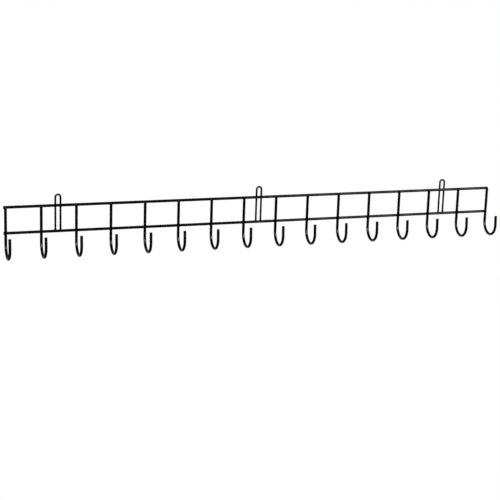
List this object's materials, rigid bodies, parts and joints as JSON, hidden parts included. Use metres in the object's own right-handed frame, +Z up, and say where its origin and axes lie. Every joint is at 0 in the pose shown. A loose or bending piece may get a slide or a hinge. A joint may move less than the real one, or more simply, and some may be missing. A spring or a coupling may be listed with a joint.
{
  "type": "garden tool hanger rack",
  "caption": "Long welded wire rack with a row of J hooks across parallel rails and hairpin loops behind them for wall screws; it holds garden tools and brooms.",
  "frame": {"origin": "on the wall plane, at the centre of the half-round eye of the centre hanging loop", "axes": "+X along the rack, +Y into the wall, +Z up"},
  "size_m": [0.9144, 0.0546, 0.1055],
  "materials": {
    "black_coated_wire": "semi-gloss black powder coat on steel wire"
  },
  "bodies": {
    "root": {"upper_rail": "black_coated_wire", "lower_rail": "black_coated_wire", "hook_01": "black_coated_wire", "hook_02": "black_coated_wire", "hook_03": "black_coated_wire", "hook_04": "black_coated_wire", "hook_05": "black_coated_wire", "hook_06": "black_coated_wire", "hook_07": "black_coated_wire", "hook_08": "black_coated_wire", "hook_09": "black_coated_wire", "hook_10": "black_coated_wire", "hook_11": "black_coated_wire", "hook_12": "black_coated_wire", "hook_13": "black_coated_wire", "hook_14": "black_coated_wire", "hook_15": "black_coated_wire", "hook_16": "black_coated_wire", "left_hanging_loop": "black_coated_wire", "centre_hanging_loop": "black_coated_wire", "right_hanging_loop": "black_coated_wire"}
  },
  "joints": []
}
